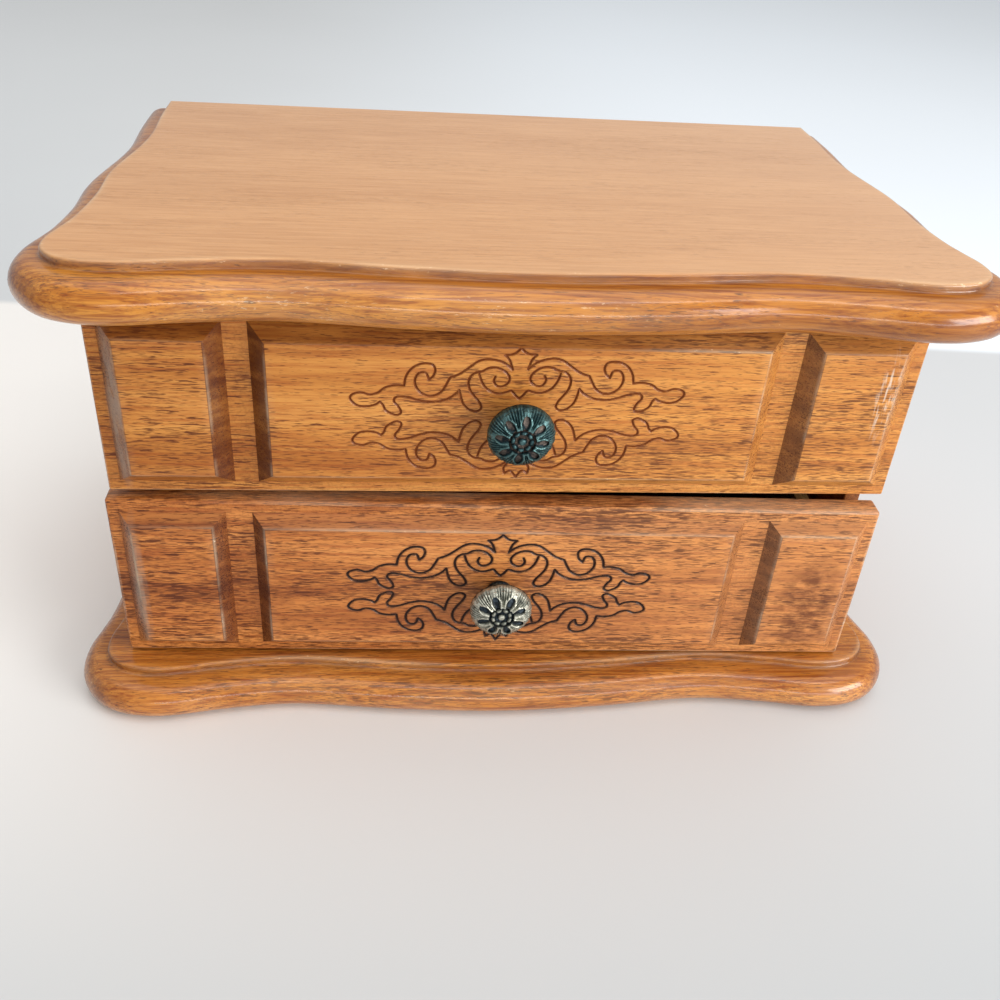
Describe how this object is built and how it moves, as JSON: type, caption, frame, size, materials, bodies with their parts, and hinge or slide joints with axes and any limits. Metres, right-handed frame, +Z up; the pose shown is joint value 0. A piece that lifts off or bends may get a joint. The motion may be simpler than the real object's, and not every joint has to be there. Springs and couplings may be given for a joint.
{
  "type": "jewelry box",
  "caption": "Wooden jewelry box with a serpentine lid that lifts over a lined ring tray and mirror, and two raised-panel drawers with rosette knobs below it.",
  "frame": {"origin": "bottom centre of the whole box, on the surface it stands on", "axes": "+X to the box's right seen from the front, -Y towards the front, +Z up"},
  "size_m": [0.267, 0.165, 0.1477],
  "materials": {
    "lid_wood": "satin",
    "base_wood": "satin",
    "upper_front_wood": "satin",
    "lower_front_wood": "satin",
    "carcass_wood": "satin",
    "box_wood": "matte",
    "velvet": "matte",
    "dark_knob": "satin",
    "pewter_knob": "satin",
    "brass": "satin",
    "steel": "satin",
    "mirror": "gloss"
  },
  "bodies": {
    "carcass": {"back_panel": "carcass_wood", "base_board": "base_wood", "drawer_divider": "carcass_wood", "left_hinge_body_leaf": "brass", "left_hinge_body_screw_1": "brass", "left_hinge_body_screw_2": "brass", "left_hinge_pin": "brass", "left_side_panel": "carcass_wood", "lower_guide_left": "box_wood", "lower_guide_right": "box_wood", "right_hinge_body_leaf": "brass", "right_hinge_body_screw_1": "brass", "right_hinge_body_screw_2": "brass", "right_hinge_pin": "brass", "right_side_panel": "carcass_wood", "ring_roll_1": "velvet", "ring_roll_2": "velvet", "ring_roll_3": "velvet", "ring_roll_4": "velvet", "ring_roll_5": "velvet", "ring_roll_6": "velvet", "tray_floor": "carcass_wood", "tray_front_rail": "carcass_wood", "tray_lining": "velvet", "tray_partition": "velvet", "upper_guide_left": "box_wood", "upper_guide_right": "box_wood"},
    "lid": {"left_hinge_lid_leaf": "brass", "left_hinge_lid_screw_1": "brass", "left_hinge_lid_screw_2": "brass", "lid_board": "lid_wood", "mirror": "mirror", "mirror_frame": "lid_wood", "right_hinge_lid_leaf": "brass", "right_hinge_lid_screw_1": "brass", "right_hinge_lid_screw_2": "brass"},
    "upper_drawer": {"upper_drawer_back": "box_wood", "upper_drawer_bottom": "box_wood", "upper_drawer_box_front": "box_wood", "upper_drawer_front": "upper_front_wood", "upper_drawer_left_side": "box_wood", "upper_drawer_lining": "velvet", "upper_drawer_partition_1": "velvet", "upper_drawer_partition_2": "velvet", "upper_drawer_right_side": "box_wood", "upper_knob": "dark_knob", "upper_knob_screw": "steel"},
    "lower_drawer": {"lower_drawer_back": "box_wood", "lower_drawer_bottom": "box_wood", "lower_drawer_box_front": "box_wood", "lower_drawer_front": "lower_front_wood", "lower_drawer_left_side": "box_wood", "lower_drawer_lining": "velvet", "lower_drawer_right_side": "box_wood", "lower_knob": "pewter_knob", "lower_knob_screw": "steel"}
  },
  "joints": [
    {"name": "lid_hinge", "type": "hinge", "parent": "carcass", "child": "lid", "pos_m": [-0.0011, 0.08055, 0.13295], "axis": [-1, 0, 0], "range_deg": [0, 95]},
    {"name": "upper_drawer_slide", "type": "slide", "parent": "carcass", "child": "upper_drawer", "axis": [0, -1, 0], "range_m": [0, 0.1]},
    {"name": "lower_drawer_slide", "type": "slide", "parent": "carcass", "child": "lower_drawer", "axis": [0, -1, 0], "range_m": [-0.001, 0.0965]}
  ]
}
